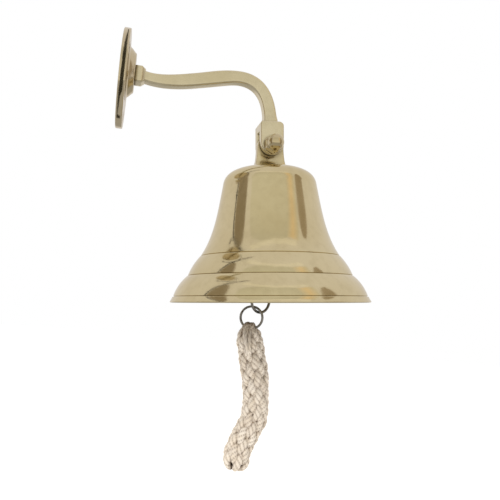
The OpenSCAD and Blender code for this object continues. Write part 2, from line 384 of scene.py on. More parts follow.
def brass(name, light, dark, rough, lathe=0.0, cast=0.0, painted_shade=0.0, reach=0.0035):
    """Polished brass with slight tarnish, specks and scratches, and painted shade that darkens its
    crevices, recesses and the gaps between parts.
    """
    material, nodes, links, bsdf = new_material(name)
    coords = nodes.new("ShaderNodeTexCoord").outputs["Object"]
    cloud = placed_noise(nodes, links, coords, 0.045, 4)
    speck = placed_noise(nodes, links, coords, 0.006, 6)
    tarnish = spread(nodes, links, cloud, 0.35, 0.7, 0, 1)
    base = mixed(nodes, links, tarnish, light, dark)
    fine = spread(nodes, links, speck, 0.45, 0.8, 0, 1)
    specks_and_shade = mixed(nodes, links, fine, base, tuple(0.82 * c for c in dark), 0.35)
    # Painted shade: where ambient occlusion finds crevices, recesses and gaps between parts within reach
    # metres, the colour darkens towards near-black brown.
    if painted_shade:
        shade_occlusion = nodes.new("ShaderNodeAmbientOcclusion")
        shade_occlusion.samples = 8
        shade_occlusion.inputs["Distance"].default_value = reach
        deep = spread(nodes, links, shade_occlusion.outputs["AO"], 0.35, 0.85, 1, 0)
        specks_and_shade = mixed(nodes, links, deep, specks_and_shade, (0.09, 0.06, 0.03), painted_shade)
    links.new(specks_and_shade, bsdf.inputs["Base Color"])
    bsdf.inputs["Metallic"].default_value = 1
    smear = placed_noise(nodes, links, coords, 0.012, 5, stretch=(1, 1, 0.35))
    links.new(
        spread(nodes, links, smear, 0.3, 0.75, rough, rough * 1.7 + 0.03),
        bsdf.inputs["Roughness"],
    )
    scratches = placed_noise(nodes, links, coords, 0.0009, 3, stretch=(1, 1, 0.06))
    heights = [(scratches, 0.03, 0.0002)]
    if lathe:
        turn = (0, LEAN, 0)
        rings = placed_noise(nodes, links, coords, 0.0011, 2, (0.01, 0.01, 1), turn)
        heights.append((rings, lathe, 0.0003))
    if cast:
        waves = placed_noise(nodes, links, coords, 0.009, 3)
        heights.append((waves, cast, 0.0015))
    bumped(nodes, links, bsdf, heights)
    return material


def steel(name, light, dark, rough, threads=False):
    """Plated steel wire or hardware with darker, duller patches."""
    material, nodes, links, bsdf = new_material(name)
    coords = nodes.new("ShaderNodeTexCoord").outputs["Object"]
    patches = placed_noise(nodes, links, coords, 0.004, 5)
    links.new(
        mixed(nodes, links, spread(nodes, links, patches, 0.35, 0.7, 0, 1), light, dark),
        bsdf.inputs["Base Color"],
    )
    bsdf.inputs["Metallic"].default_value = 1
    links.new(
        spread(nodes, links, patches, 0.3, 0.75, rough, rough + 0.2),
        bsdf.inputs["Roughness"],
    )
    grain = placed_noise(nodes, links, coords, 0.0006, 4)
    heights = [(grain, 0.15, 0.0002)]
    if threads:
        pitch = 2 * MM
        wave = add_node(nodes, "ShaderNodeTexWave", Scale=math.pi / (10 * pitch), Distortion=0)
        wave.bands_direction = "Z"
        links.new(coords, wave.inputs["Vector"])
        heights.append((wave.outputs["Fac"], 0.5, 0.0004))
    bumped(nodes, links, bsdf, heights)
    return material


def cotton(name):
    """Natural cotton strands: cream, with painted brown shade in the crevices and fine spun fibres."""
    material, nodes, links, bsdf = new_material(name)
    coords = nodes.new("ShaderNodeTexCoord")
    depth = nodes.new("ShaderNodeAttribute")
    depth.attribute_name = "crevice_shade"
    tone = nodes.new("ShaderNodeAttribute")
    tone.attribute_name = "tone"
    patches = placed_noise(nodes, links, coords.outputs["Object"], 0.005, 4)
    cream = mixed(nodes, links, tone.outputs["Fac"], (0.79, 0.725, 0.63), (0.67, 0.595, 0.50))
    soiled = mixed(
        nodes, links, spread(nodes, links, patches, 0.45, 0.75, 0, 1), cream, (0.62, 0.52, 0.38), 0.5
    )
    # Painted shade: the vertex layer read above darkens the cotton to dark brown between plies, on the
    # strands' inner sides, at their ends and over the core.
    shaded = mixed(nodes, links, depth.outputs["Fac"], soiled, (0.17, 0.11, 0.06), 1.0)
    links.new(shaded, bsdf.inputs["Base Color"])
    bsdf.inputs["Roughness"].default_value = 0.92
    bsdf.inputs["Specular IOR Level"].default_value = 0.2
    bsdf.inputs["Sheen Weight"].default_value = 0.25
    bsdf.inputs["Sheen Roughness"].default_value = 0.5
    place = nodes.new("ShaderNodeMapping")
    place.inputs["Rotation"].default_value = (0, 0, math.radians(38))
    place.inputs["Scale"].default_value = (34, 5, 1)
    links.new(coords.outputs["UV"], place.inputs["Vector"])
    fibres = add_node(nodes, "ShaderNodeTexNoise", Scale=1.0, Detail=4)
    links.new(place.outputs["Vector"], fibres.inputs["Vector"])
    fuzz = placed_noise(nodes, links, coords.outputs["Object"], 0.0007, 3)
    bumped(
        nodes,
        links,
        bsdf,
        [(fibres.outputs["Fac"], 0.6, 0.0006), (fuzz, 0.4, 0.0003)],
    )
    return material


def plain(name, colour, emission=0.0):
    material, nodes, links, bsdf = new_material(name)
    bsdf.inputs["Base Color"].default_value = (*colour, 1)
    bsdf.inputs["Roughness"].default_value = 0.8
    if emission:
        bsdf.inputs["Emission Color"].default_value = (*colour, 1)
        bsdf.inputs["Emission Strength"].default_value = emission
    return material


# The painted shade strengths below darken each part's crevices and the gaps between parts.
bell_brass = brass(
    "bell_brass", (0.74, 0.65, 0.42), (0.66, 0.56, 0.33), 0.07, lathe=0.06, painted_shade=0.25, reach=0.0016
)
arm_brass = brass("arm_brass", (0.77, 0.70, 0.51), (0.71, 0.63, 0.43), 0.15, cast=0.05, painted_shade=0.9)
plate_brass = brass("plate_brass", (0.70, 0.62, 0.45), (0.62, 0.53, 0.36), 0.1, cast=0.04, painted_shade=0.8)
clapper_brass = brass(
    "clapper_brass", (0.70, 0.60, 0.38), (0.58, 0.48, 0.28), 0.16, lathe=0.1, painted_shade=0.6
)
nut_brass = brass("nut_brass", (0.66, 0.57, 0.37), (0.56, 0.47, 0.29), 0.06, painted_shade=1.0)
# The hanger's long reach paints shade on the tab under the fork's tines and nut.
hanger_brass = brass(
    "hanger_brass", (0.72, 0.63, 0.42), (0.64, 0.54, 0.33), 0.1, painted_shade=1.0, reach=0.008
)
ZINC = ((0.62, 0.61, 0.58), (0.46, 0.45, 0.42), 0.28)
hardware_steel = steel("hardware_steel", *ZINC)
thread_steel = steel("thread_steel", *ZINC, threads=True)
ring_steel = steel("ring_steel", (0.36, 0.35, 0.33), (0.16, 0.155, 0.15), 0.18)
rope_cotton = cotton("rope_cotton")


def dress(piece, material, body, slot, *nodes):
    """Gives a piece its material and its body, and hides the nodes that it stands for. slot is not used.
    """
    piece.data.materials.clear()
    piece.data.materials.append(material)
    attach(piece, body)
    if nodes:
        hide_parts(*nodes)
    return piece


# ---- Bracket ----

def wall_plate():
    edge = 0.8
    rim = 0.6
    profile = [(0, 0), (PLATE_R - edge, 0), (PLATE_R - 0.2, 0.25), (PLATE_R, edge)]
    profile += [tuple(p) for p in arc((PLATE_R - rim, PLATE_T - rim), rim, 0, 90, 8)]
    profile += [(PLATE_R * k / 12, PLATE_T) for k in range(11, -1, -1)]
    plate = turned("wall_plate_disc", profile[1:-1], Z_TO_X, 160, closed=False)
    spread_r = SCREW_CIRCLE_R * MM
    for a in (30, 150, 270):
        place = Matrix.Translation(
            (0, spread_r * math.cos(math.radians(a)), spread_r * math.sin(math.radians(a)))
        )
        hole = [(2.3, -1), (2.3, PLATE_T - 2.6), (4.4, PLATE_T), (4.8, PLATE_T + 0.4)]
        cut(plate, turned("hole", hole, place @ Z_TO_X, 48, closed=False))
    root = Matrix.Translation((0, 0, ARM_RISE * MM))
    recess = [(5.3, -1), (5.3, 0.2), (2.55, 2.9), (2.55, PLATE_T + 1)]
    cut(plate, turned("recess", recess, root @ Z_TO_X, 48, closed=False))
    shade(plate)
    return dress(plate, plate_brass, "bracket", "brass_bracket", "wall_plate")


def hub():
    r = HUB_R
    profile = [(HUB_FOOT_R - 4, PLATE_T), (HUB_FOOT_R, PLATE_T)]
    profile += curve(
        (HUB_FOOT_R, PLATE_T + 0.2),
        (r + 1.6, PLATE_T + 0.5),
        (r + 0.3, PLATE_T + 1),
        (r, PLATE_T + 2),
        10,
    )
    profile += curve((r - 2.4, HUB_X - 1.2), (r - 2.9, HUB_X - 0.4), (r - 3.2, HUB_X), (r - 4, HUB_X), 6)
    profile += [(r - 8, HUB_X), (3, HUB_X)]
    place = Matrix.Translation((0, 0, (ARM_RISE + HUB_LIFT) * MM))
    boss = turned("hub_boss_step", profile, place @ Z_TO_X, 128, closed=False)
    return dress(boss, plate_brass, "bracket", "brass_bracket", "hub_boss")


def arm_line():
    """The arm's centre line from the collar to the fork, as (x, z)."""
    top = Vector((89, 14.4))
    pivot = Vector((PIVOT.x, PIVOT.z)) / MM
    down = Vector((math.sin(LEAN), -math.cos(LEAN)))
    seat = pivot - (FORK_TOP - 2) * down
    first = curve((COLLAR_END, ARM_RISE), (38, -2.2), (72, top.y), top, 60)
    bend = curve(top, top + Vector((22.2, 0)), seat - 13 * down, seat, 60)
    return first + bend[1:]


def arm_loft():
    depth = [(0, 3.8), (0.25, 4.9), (0.36, 5.05), (0.5, 4.6), (0.7, 4.6), (0.88, 4.8), (1, 5.7)]
    line = arm_line()
    last = len(line) - 1
    rows = []
    for i, p in enumerate(line):
        d = (line[min(i + 1, last)] - line[max(i - 1, 0)]).normalized()
        up = Vector((-d.y, d.x))
        half_h = blend(i / last, depth)
        half_w = blend(-p.y, [(5, ARM_HALF), (11, ARM_HALF + 0.3), (18, NECK_HALF)])
        ring = rounded_box_ring(half_w, half_h, 1.6)
        rows.append([(p.x + v * up.x, u, p.y + v * up.y) for u, v in ring])
    return solid("arm", rows)


def collar_loft():
    rows = []
    steps = [(HUB_X, 5.9), (HUB_X + 0.5, COLLAR_HALF), (COLLAR_END - 0.7, COLLAR_HALF)]
    steps += [(COLLAR_END, 5.9), (COLLAR_END + 0.5, 5.5), (COLLAR_TIP - 0.4, 4.75), (COLLAR_TIP, 4.3)]
    for x, half in steps:
        ring = rounded_box_ring(half, half, 1.0)
        rows.append([(x, u, ARM_RISE + v) for u, v in ring])
    return solid("collar", rows)


def fork_block():
    front = 3.4
    back = 1.8
    outline = arc((FORK_HALF - front, FORK_TOP - front), front, 0, 90, 10)
    outline += arc((back - FORK_HALF, FORK_TOP - back), back, 90, 180, 8)
    outline += arc((0, TINE_UP), FORK_HALF, 180, 360, 48)
    half = FORK_T / 2
    rows = []
    for edge, face in ((1.5, -1), (0.35, 1)):
        for k in range(7):
            a = math.radians(15 * k)
            y = face * (half - edge * (1 - math.sin(a)))
            rows.append((y, edge * (1 - math.cos(a))))
    rows.sort()
    centre = Vector((0, 6))
    grid = []
    for y, inset in rows:
        ring = []
        for p in outline:
            to_centre = (centre - p).normalized()
            q = p + inset * to_centre
            ring.append((q.x, y, q.y))
        grid.append(ring)
    block = solid("fork", grid, TO_PIVOT)
    slot = bpy.data.meshes.new("slot")
    bm = bmesh.new()
    bmesh.ops.create_cube(bm, size=1)
    for v in bm.verts:
        z = SLOT_TOP if v.co.z > 0 else -20
        v.co = TO_PIVOT @ (Vector((v.co.x * 30, v.co.y * SLOT_W, z)) * MM)
    bm.to_mesh(slot)
    bm.free()
    cut(block, link("slot", slot))
    bore = turned("bore", [(4.0, -15), (4.0, 15)], TO_PIVOT @ Y_TO_Z, 64, closed=False)
    cut(block, bore)
    return softened(block, 0.3, 2, 50)


def bracket_arm():
    arm = cut(arm_loft(), collar_loft(), "UNION")
    cut(arm, fork_block(), "UNION")
    shade(arm, 30)
    return dress(arm, arm_brass, "bracket", "brass_bracket", "bracket_arm")


def hexagon(af, corner):
    """A radius function for a hexagon that is cut back to corner by its chamfer."""
    def shape(r, a):
        turn = (a + math.pi / 6) % (math.pi / 3) - math.pi / 6
        return min(r, af / 2 / math.cos(turn)) if r > corner else r
    return shape


def acorn_nut():
    """A domed nut: a chamfered hexagon, a neck and a high round dome."""
    across = NUT_AF / math.cos(math.pi / 6) / 2
    place = TO_PIVOT @ Matrix.Translation((0, -(FORK_T / 2 + WASHER_T) * MM, 0)) @ Y_TO_Z
    dome = NUT_AF / 2 - 0.4
    profile = [(BOLT_R, 0), (6.2, 0), (6.9, 0.35), (across, 0.8)]
    profile += [(across, NUT_H - 1.1), (7.0, NUT_H - 0.65), (dome + 0.3, NUT_H - 0.1)]
    profile += [(dome, NUT_H + 0.1), (dome, NUT_H + 0.8)]
    profile += [tuple(p) for p in arc((0, NUT_H + 1.6), dome, 4, 86, 20)]
    nut = turned("acorn_nut_dome", profile, place, 96, False, hexagon(NUT_AF, 6.45), 24)
    return dress(nut, nut_brass, "bracket", "brass_bracket", "acorn_nut")


def pivot_bolt():
    """The bolt's chamfered head behind the fork, and its shank through both tines."""
    across = NUT_AF / math.cos(math.pi / 6) / 2
    place = TO_PIVOT @ Matrix.Translation((0, (FORK_T / 2 + WASHER_T) * MM, 0)) @ Y_TO_Z.inverted()
    head = [(BOLT_R, 0), (6.2, 0), (across, 0.5), (across, 4.3), (6.9, 4.8), (6.2, 5.3), (2.5, 5.3)]
    piece = turned("bolt_head", head, place, 96, False, hexagon(NUT_AF, 6.45), 24)
    shank = [(BOLT_R, -(FORK_T + 2 * WASHER_T + NUT_H)), (BOLT_R, -12), (BOLT_R, 0.6)]
    body = turned("shank", shank, place, 64, closed=False)
    cut(piece, body, "UNION")
    shade(piece, 24)
    piece.name = "pivot_bolt_m8"
    return dress(piece, nut_brass, "bracket", "brass_bracket", "pivot_bolt")


def pivot_washers():
    r = WASHER_R
    half = WASHER_T / 2
    profile = [(4.2, -half + 0.1), (4.3, -half), (r - 0.3, -half), (r, -half + 0.3)]
    profile += [(r, half - 0.3), (r - 0.3, half), (4.3, half), (4.2, half - 0.1)]
    discs = []
    for side in (-1, 1):
        place = TO_PIVOT @ Matrix.Translation((0, side * (FORK_T / 2 + half) * MM, 0)) @ Y_TO_Z
        discs.append(turned("washer", profile, place, 96, closed=True))
    piece = joined("pivot_washer_pair", discs)
    shade(piece)
    return dress(piece, plate_brass, "bracket", "brass_bracket", "pivot_washers")


# ---- Bell ----

def bell_profile():
    """The bell's closed outline: the lip, two moulded bands, the waist, the crown, the inside."""
    r = MOUTH_R
    outer = arc((r - 0.75, 0.75), 0.75, -85, -5, 6)
    outer += bow((r, 0.8), (r - 1.85, LIP_H - 0.12), 0.1, 8)
    outer += [(r - 2.0, LIP_H), (r - 2.8, LIP_H + 0.02), (r - 2.95, LIP_H + 0.3)]
    outer += bow((r - 2.55, LIP_H + 0.7), (r - 12.45, LOW_LINE - 0.15), -1.2, 36)
    outer += [(r - 12.6, LOW_LINE), (r - 13.5, LOW_LINE + 0.02), (r - 13.65, LOW_LINE + 0.3)]
    outer += bow((r - 13.25, LOW_LINE + 0.7), (r - 21.85, HIGH_LINE - 0.15), -0.7, 30)
    outer += [(r - 22, HIGH_LINE), (r - 22.85, HIGH_LINE + 0.02), (r - 23.05, HIGH_LINE + 0.3)]
    outer += curve(
        (r - 22.75, HIGH_LINE + 0.75),
        (r - 32.7, HIGH_LINE + 16),
        (39.7, BELL_H - 34),
        (35.9, BELL_H - 14),
        56,
    )
    outer += curve(
        (35.82, BELL_H - 13.6), (35.1, BELL_H - 6.5), (30.5, BELL_H - 1.8), (18, BELL_H - 0.15), 36
    )
    outer += [(14, BELL_H), (9, BELL_H), (SHANK_R, BELL_H), (SHANK_R, CROWN_IN), (10, CROWN_IN)]
    inner = curve((17, CROWN_IN), (27.5, CROWN_IN - 0.6), (32, BELL_H - 8), (32.8, BELL_H - 15), 20)
    inner += curve(
        (32.8, BELL_H - 15.4), (35.8, BELL_H - 32), (38.6, HIGH_LINE + 16.8), (48.8, HIGH_LINE), 30
    )
    inner += curve((49, HIGH_LINE - 0.4), (54, HIGH_LINE - 9), (63.5, 13), (r - 2.8, 0.4), 26)
    inner += arc((r - 2.3, 0.5), 0.5, 190, 270, 3)
    return [tuple(p) for p in outer + inner]


def bell():
    cup = turned("bell_body", bell_profile(), TO_LIP, 256, closed=True, angle=24)
    return dress(cup, bell_brass, "bell", "brass_bell", "bell_cup")


def hanger():
    """The tab in the fork: a flat tongue with a round top that flares into the crown."""
    foot = BELL_H - PIVOT_H
    wide = [(v.y, v.x) for v in curve((TAB_R, 0), (TAB_R + 0.2, -8), (11.1, -11.5), (12.7, foot), 24)]
    deep = [(v.y, v.x) for v in curve((3.7, -10), (3.7, -13), (5.0, -14.6), (6.6, foot), 24)]
    wide.sort()
    deep.sort()
    heights = [foot + 16 * k / 30 for k in range(31)]
    heights += [TAB_R * math.sin(math.radians(a)) for a in range(4, 85, 5)] + [TAB_R - 0.02]
    rows = []
    for z in heights:
        if z <= 0:
            half_w = blend_linear(z, wide)
        else:
            half_w = math.sqrt(max(TAB_R**2 - z * z, 0.3))
        half_d = blend_linear(z, deep)
        inset = min(0.7, half_w * 0.5)
        ring = rounded_box_ring(half_w, half_d, inset, 4, 4)
        rows.append([(u, v, z) for u, v in ring])
    tab = solid("crown_hanger_tab", rows, TO_PIVOT, angle=40)
    cut(tab, turned("bore", [(4.0, -12), (4.0, 12)], TO_PIVOT @ Y_TO_Z, 64, closed=False))
    shade(tab, 40)
    return dress(tab, hanger_brass, "bell", "brass_bell", "crown_hanger")


# ---- Rings ----

def ring_place(node):
    """The centre of a ring node, from its box."""
    low, high = (Vector(c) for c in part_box(node))
    return (low + high) / 2


def pull_ring():
    """The closed ring, with a fine groove and a slight swelling at its brazed joint."""
    ring_r = 9
    centre = ring_place("clapper_ring") / MM
    across = Vector((math.cos(math.radians(30)), math.sin(math.radians(30)), 0))
    count = 120
    line = []
    for i in range(count):
        a = 2 * math.pi * i / count
        line.append(centre + ring_r * (math.cos(a) * across + math.sin(a) * Vector((0, 0, 1))))

    def wire(share, angle):
        joint = abs(share - 0.27)
        groove = 0.07 * math.exp(-((joint / 0.006) ** 2))
        return 1.0 - groove + 0.05 * math.exp(-((joint / 0.015) ** 2))
    ring = tube("clapper_ring_wire", line, wire, 20, True, Vector((0, 0.3, 1)))
    return dress(ring, ring_steel, "pull_ring", "dark_nickel", "clapper_ring")


def split_ring():
    """Two turns of wire that lie side by side, with the crossing where one passes to the other."""
    centre = ring_place("split_ring") / MM
    yaw = math.radians(-20)
    across = Vector((math.cos(yaw), math.sin(yaw), 0))
    normal = Vector((-math.sin(yaw), math.cos(yaw), 0))
    start = math.radians(150)
    ring_r = 8.2
    wire_r = 0.78
    apart = 0.62
    count = 260
    line = []
    for i in range(count + 1):
        turns = 1.97 * i / count
        a = start + 2 * math.pi * turns
        step = blend(turns, [(0.9, -apart), (1.07, apart)])
        radial = ring_r * (math.cos(a) * across + math.sin(a) * Vector((0, 0, 1)))
        line.append(centre + radial + step * normal)

    def wire(share, angle):
        end = min(share, 1 - share) * count
        flat = wire_r * (1 - 0.06 * math.cos(2 * angle))
        return flat * min(1, 0.55 + 0.3 * end)
    ring = tube("split_ring_wire", line, wire, 16, False, normal)
    return dress(ring, ring_steel, "key_ring", "dark_nickel", "split_ring")


# ---- Rope ----

# The rope's middle line, which starts in the loop, above the braid
ROPE_ROUTE = [
    (112.62, -0.2, -171.2), (112.6, -0.4, -177.2), (113.6, 0, -183), (115.2, 0, -190), (116.9, 0, -197),
    (118.6, 0, -204), (120.2, 0, -211), (121.4, 0, -218), (122.2, 0, -225),
    (122.3, 0, -232), (121.7, 0, -238.5), (120.1, 0, -244.5), (117.8, 0, -250),
    (115.2, 0, -255.2), (113, 0, -260.5), (111.6, 0, -266), (111, 0, -271),
    (110.5, 0, -275.5),
]
ROPE_R = 10.4
CORE_R = 7.2
STRAND_R = 2.7
COLUMNS = 12
ROW_PITCH = 12.6
BRAID_START = 6.0


def smooth_route(points, per_span=12):
    """A smooth line through the points."""
    p = [Vector(v) for v in points]
    p = [2 * p[0] - p[1]] + p + [2 * p[-1] - p[-2]]
    line = []
    for i in range(1, len(p) - 2):
        for k in range(per_span):
            t = k / per_span
            line.append(
                0.5 * (2 * p[i] + (p[i + 1] - p[i - 1]) * t
                       + (2 * p[i - 1] - 5 * p[i] + 4 * p[i + 1] - p[i + 2]) * t * t
                       + (3 * p[i] - p[i - 1] - 3 * p[i + 1] + p[i + 2]) * t**3)
            )
    line.append(p[-2])
    return line


class Rope:
    """Places on the rope, by distance along it, angle round it and distance from its middle."""

    def __init__(self, points):
        self.line = smooth_route(points)
        self.at = [0.0]
        for a, b in zip(self.line, self.line[1:]):
            self.at.append(self.at[-1] + (b - a).length)
        self.length = self.at[-1]

    def frame(self, s):
        s = min(max(s, 0.0), self.length - 1e-6)
        i = 0
        while self.at[i + 1] < s:
            i += 1
        t = (s - self.at[i]) / (self.at[i + 1] - self.at[i])
        middle = self.line[i].lerp(self.line[i + 1], t)
        before = self.line[max(i - 1, 0)]
        after = self.line[min(i + 2, len(self.line) - 1)]
        along = (after - before).normalized()
        side = Vector((0, 1, 0)).cross(along).normalized()
        return middle, along, side, along.cross(side)

    def swell(self, s):
        """The rope's radius as a share of its full one: gathered on top, rounded at the end."""
        top = blend(s - BRAID_START, [(-2, 0.55), (2.5, 0.86), (7, 1.0)])
        left = (self.length - s) / 6
        end = math.sqrt(max(1 - (1 - min(max(left, 0), 1)) ** 2, 0.0))
        return top * (0.66 + 0.34 * end)

    def place(self, s, angle, r):
        middle, along, side, other = self.frame(s)
        over = min(max(s - self.length, 0), 0.3)
        out = math.cos(angle) * side + math.sin(angle) * other
        return middle + over * along + r * self.swell(s) * out


def strand(bm, line, width, twist, tone, plies=3, sides=24, flat=0.9, ends=1.0):
    """A laid strand along a line: its section is a few round plies that turn as it goes."""
    uv = bm.loops.layers.uv.verify()
    # A vertex layer of painted shade, which the cotton material turns into dark brown.
    crevice_shade = bm.verts.layers.float.get("crevice_shade") or bm.verts.layers.float.new("crevice_shade")
    tones = bm.verts.layers.float.get("tone") or bm.verts.layers.float.new("tone")
    n = len(line)
    rings = []
    run = [0.0]
    for i, (p, out) in enumerate(line):
        before = line[max(i - 1, 0)][0]
        after = line[min(i + 1, n - 1)][0]
        d = (after - before).normalized()
        up = (out - out.dot(d) * d).normalized()
        across = d.cross(up)
        if i:
            run.append(run[-1] + (p - line[i - 1][0]).length)
        share = i / (n - 1)
        thick = width * (0.56 + 0.44 * math.sin(math.pi * share) ** 0.7)
        ring = []
        for k in range(sides):
            a = 2 * math.pi * k / sides
            lobe = abs(math.cos((a - twist * run[-1]) * plies / 2))
            r = thick * (0.76 + 0.24 * lobe**0.6)
            v = bm.verts.new((p + r * (math.cos(a) * across + flat * math.sin(a) * up)) * MM)
            # Painted shade: most in the grooves between plies, on the side that faces the rope's middle,
            # and towards the strand's ends as far as ends allows.
            low = max(0.0, 0.6 - math.sin(a)) * (0.3 + 0.25 * ends)
            v[crevice_shade] = min(1.0, 0.9 * (1 - lobe) ** 3 + low + ends * abs(2 * share - 1) ** 4)
            v[tones] = tone
            ring.append(v)
        rings.append(ring)
    for i in range(n - 1):
        for k in range(sides):
            k2 = (k + 1) % sides
            face = bm.faces.new((rings[i][k], rings[i][k2], rings[i + 1][k2], rings[i + 1][k]))
            face.smooth = True
            places = ((i, k), (i, k + 1), (i + 1, k + 1), (i + 1, k))
            for loop, (row, col) in zip(face.loops, places):
                loop[uv].uv = (col / sides, run[row] / (6 * width))
    for ring, flip in ((rings[0], True), (rings[-1], False)):
        face = bm.faces.new(ring[::-1] if flip else ring)
        face.smooth = True


def braid(rope):
    """Rice-grain bumps of laid strand, in columns that lean to and fro, over a core."""
    random.seed(7)
    bm = bmesh.new()
    rows = int((rope.length - BRAID_START + 10) / ROW_PITCH) + 1
    half_len = 0.66 * ROW_PITCH
    lean = 0.5 * 2 * math.pi / COLUMNS
    steps = 22
    for column in range(COLUMNS):
        side = 1 if column % 2 else -1
        for row in range(rows):
            centre = BRAID_START + (row + (0.5 if column % 2 else 0)) * ROW_PITCH + 2.5
            centre += random.uniform(-0.6, 0.6)
            if centre > rope.length - 2.5:
                continue
            angle = 2 * math.pi * (column + random.uniform(-0.07, 0.07)) / COLUMNS
            slope = lean * random.uniform(0.75, 1.15)
            size = STRAND_R * random.uniform(0.9, 1.1)
            proud = random.uniform(-0.5, 0.4)
            line = []
            for i in range(steps + 1):
                t = 2 * i / steps - 1
                s = centre + half_len * t
                dive = 5.0 * abs(t) ** 2.4
                r = ROPE_R - 2.35 - dive + proud
                a = angle + side * slope * t
                p = rope.place(s, a, r)
                out = rope.place(s, a, r + 1) - p
                line.append((p, out.normalized()))
            tight = min(1.0, 0.55 + 0.45 * rope.swell(centre))
            strand(bm, line, size * tight, side * 0.72, random.random(), sides=30)
    layer = bm.verts.layers.float.get("crevice_shade")
    tones = bm.verts.layers.float.get("tone")
    rings = []
    count = 90
    for i in range(count + 1):
        s = BRAID_START - 2 + (rope.length - BRAID_START - 2) * i / count
        ring = []
        for k in range(24):
            v = bm.verts.new(rope.place(s, 2 * math.pi * k / 24, CORE_R) * MM)
            # Painted shade: the core is coloured fully dark, as the shade deep between the strands.
            v[layer] = 1.0
            v[tones] = 0.5
            ring.append(v)
        rings.append(ring)
    for a, b in zip(rings, rings[1:]):
        for k in range(24):
            bm.faces.new((a[k], a[(k + 1) % 24], b[(k + 1) % 24], b[k])).smooth = True
    bm.faces.new(rings[0][::-1])
    bm.faces.new(rings[-1])
    bmesh.ops.recalc_face_normals(bm, faces=bm.faces)
    mesh = bpy.data.meshes.new("rope_braid")
    bm.to_mesh(mesh)
    bm.free()
    piece = link("rope_braid", mesh)
    return dress(piece, rope_cotton, "lanyard", "cotton_rope", "lanyard_braid", "lanyard_knot")


def rope_loop(rope):
    """Two strands side by side that go over the split ring and lie down on the braid."""
    pin = Vector(joints["lanyard_swing"]["pos_m"]) / MM
    along = Vector(joints["lanyard_swing"]["axis"]).normalized()
    up = Vector((0, 0, 1))
    up = (up - up.dot(along) * along).normalized()
    front = along.cross(up)
    bm = bmesh.new()
    reach = 3.45
    legs = [(23, 9.2, 0.4), (18.5, 11.6, 0.9), (14, 11.6, 1.3), (9.5, 9.4, 1.5), (6, 6.0, 1.5)]
    for side in (-1, 1):
        route = []
        for down, out, off in legs:
            middle, _, across, _ = rope.frame(down)
            route.append(middle - out * front - side * off * across)
        for a in range(0, 181, 20):
            lift = reach * math.sin(math.radians(a))
            level = -reach * math.cos(math.radians(a))
            route.append(pin + lift * up + level * front + side * 1.4 * along)
        for down, out, off in legs[::-1]:
            middle, _, across, _ = rope.frame(down)
            route.append(middle + out * front - side * off * across)
        line = []
        for p in smooth_route(route, 4):
            out = p - pin - (p - pin).dot(along) * along
            if p.z < pin.z - 4:
                out = front * (1 if (p - pin).dot(front) > 0 else -1)
            line.append((p, out.normalized()))
        strand(bm, line, 1.65, side * 0.5, 0.35 + 0.2 * side, 3, 20, 0.85, 0.0)
    bmesh.ops.recalc_face_normals(bm, faces=bm.faces)
    mesh = bpy.data.meshes.new("rope_loop")
    bm.to_mesh(mesh)
    bm.free()
    piece = link("rope_loop", mesh)
    return dress(piece, rope_cotton, "lanyard", "cotton_rope", "lanyard_loop")


def lanyard():
    rope = Rope(ROPE_ROUTE)
    piece = braid(rope)
    loop = rope_loop(rope)


# ---- Studio ----

def glow(name, colour, strength, low=None, soft=0.0, rim=ROOM_LIGHT):
    """A card's light. low is its strength at the foot, and soft blends its sides into rim."""
    material = bpy.data.materials.new(name)
    material.use_nodes = True
    nodes, links = material.node_tree.nodes, material.node_tree.links
    nodes.clear()
    light = nodes.new("ShaderNodeEmission")
    light.inputs["Color"].default_value = (*colour, 1)
    light.inputs["Strength"].default_value = strength
    out = nodes.new("ShaderNodeOutputMaterial")
    links.new(light.outputs[0], out.inputs["Surface"])
    place = nodes.new("ShaderNodeSeparateXYZ")
    coords = nodes.new("ShaderNodeTexCoord").outputs["UV" if soft else "Generated"]
    links.new(coords, place.inputs[0])
    if low is not None:
        links.new(
            spread(nodes, links, place.outputs["Y"], 0, 1, low, strength), light.inputs["Strength"]
        )
    if soft:
        away = nodes.new("ShaderNodeMath")
        away.operation = "PINGPONG"
        links.new(place.outputs["X"], away.inputs[0])
        away.inputs[1].default_value = 0.5
        inside = spread(nodes, links, away.outputs[0], 0, soft, 0, 1)
        deep = tuple(c * strength for c in colour)
        links.new(mixed(nodes, links, inside, rim, deep), light.inputs["Color"])
        light.inputs["Strength"].default_value = 1
    return material


def reflected(panel):
    """Only the metal sees the panel."""
    panel.visible_camera = False
    panel.visible_diffuse = False
    panel.visible_shadow = False
    return panel


def flat(name, width, height):
    mesh = bpy.data.meshes.new(name)
    bm = bmesh.new()
    bmesh.ops.create_grid(bm, x_segments=1, y_segments=1, size=0.5)
    for v in bm.verts:
        v.co.x *= width
        v.co.y *= height
    bm.to_mesh(mesh)
    bm.free()
    return link(name, mesh)


def card(name, place, width, height, material):
    """A flat panel that the metal reflects."""
    panel = flat(name, width, height)
    panel.matrix_world = place
    panel.data.materials.append(material)
    return reflected(panel)


def around(angle, distance, height):
    """A place round the bell that faces it. Angle 0 is in front of it, and grows to the right."""
    a = math.radians(angle - 90 - CAMERA_TURN)
    spot = BELL_MIDDLE + Vector((distance * math.cos(a), distance * math.sin(a), height))
    toward = (Vector((BELL_MIDDLE.x, BELL_MIDDLE.y, spot.z)) - spot).normalized()
    turn = toward.to_track_quat("Z", "Y").to_matrix().to_4x4()
    return Matrix.Translation(spot) @ turn


